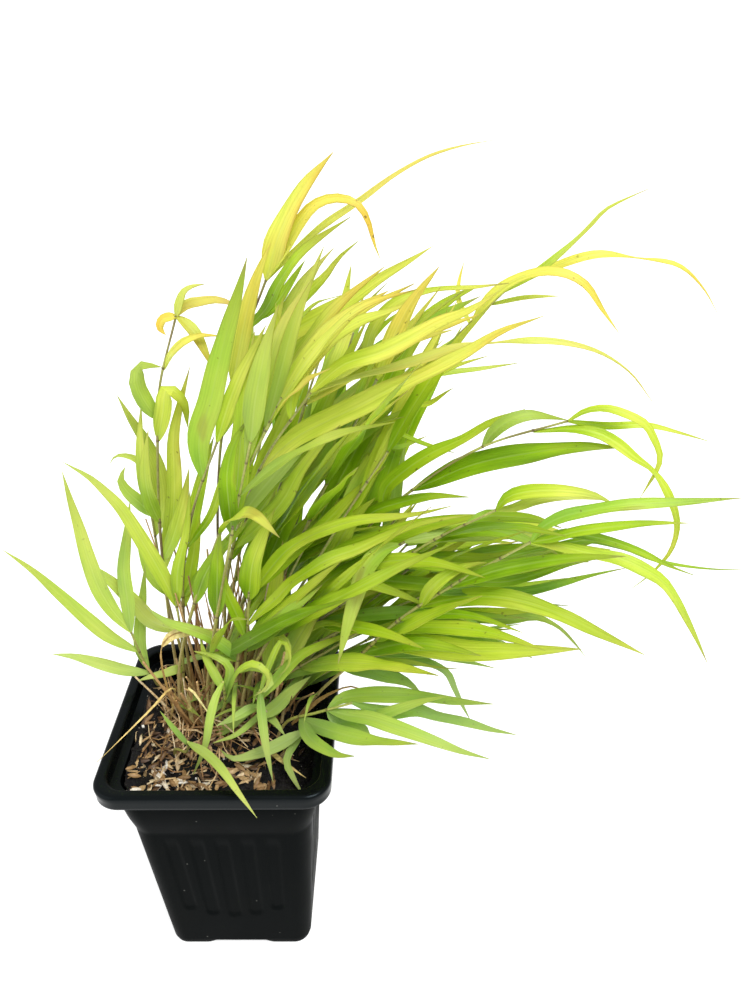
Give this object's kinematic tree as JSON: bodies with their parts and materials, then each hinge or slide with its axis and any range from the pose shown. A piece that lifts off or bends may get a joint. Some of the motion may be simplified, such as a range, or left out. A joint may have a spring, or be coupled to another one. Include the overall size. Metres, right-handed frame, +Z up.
{
  "type": "potted japanese forest grass",
  "caption": "Clump of Japanese forest grass, lime-green to golden arching blades on thin stems swept to one side, rooted in dark potting mix in a deep black square nursery pot.",
  "frame": {"origin": "middle of the pot's underside, on the surface that the pot stands on", "axes": "+Z up out of the pot; +X is the side that the clump leans to; -Y is the front, towards which the pot's mouth is left clear"},
  "size_m": [0.3527, 0.2065, 0.4073],
  "materials": {
    "pot_plastic": "thin injection-moulded polypropylene, black, semi-gloss, a little dusty",
    "potting_mix": "moist dark peat and bark with tan rice hulls and a few white perlite grains",
    "leaf_lime": "lime-green leaf with a satin upper face and fine parallel veins",
    "leaf_golden": "golden-yellow leaf with a satin upper face, browned at some tips"
  },
  "bodies": {
    "root": {"pot": "pot_plastic", "soil": "potting_mix", "stem_arching_right": "leaf_lime", "stem_bright_middle": "leaf_lime", "stem_broad_blade": "leaf_lime", "stem_centre": "leaf_lime", "stem_front_edge": "leaf_lime", "stem_front_left": "leaf_lime", "stem_front_low": "leaf_lime", "stem_front_right": "leaf_lime", "stem_high_right": "leaf_golden", "stem_inner_01": "leaf_lime", "stem_inner_02": "leaf_lime", "stem_inner_03": "leaf_lime", "stem_inner_04": "leaf_lime", "stem_inner_05": "leaf_lime", "stem_inner_06": "leaf_lime", "stem_inner_07": "leaf_lime", "stem_inner_08": "leaf_lime", "stem_inner_09": "leaf_lime", "stem_inner_10": "leaf_lime", "stem_inner_11": "leaf_lime", "stem_inner_12": "leaf_lime", "stem_inner_13": "leaf_lime", "stem_inner_14": "leaf_lime", "stem_inner_15": "leaf_lime", "stem_inner_16": "leaf_lime", "stem_inner_17": "leaf_lime", "stem_inner_18": "leaf_lime", "stem_inner_19": "leaf_lime", "stem_inner_20": "leaf_lime", "stem_inner_21": "leaf_lime", "stem_inner_22": "leaf_lime", "stem_inner_23": "leaf_lime", "stem_inner_24": "leaf_lime", "stem_left_middle": "leaf_lime", "stem_left_outer": "leaf_lime", "stem_left_upper": "leaf_lime", "stem_long_right": "leaf_lime", "stem_low_right": "leaf_lime", "stem_low_spray": "leaf_lime", "stem_middle_right": "leaf_lime", "stem_olive_centre": "leaf_lime", "stem_small_golden": "leaf_golden", "stem_tall_left": "leaf_golden"}
  },
  "joints": []
}
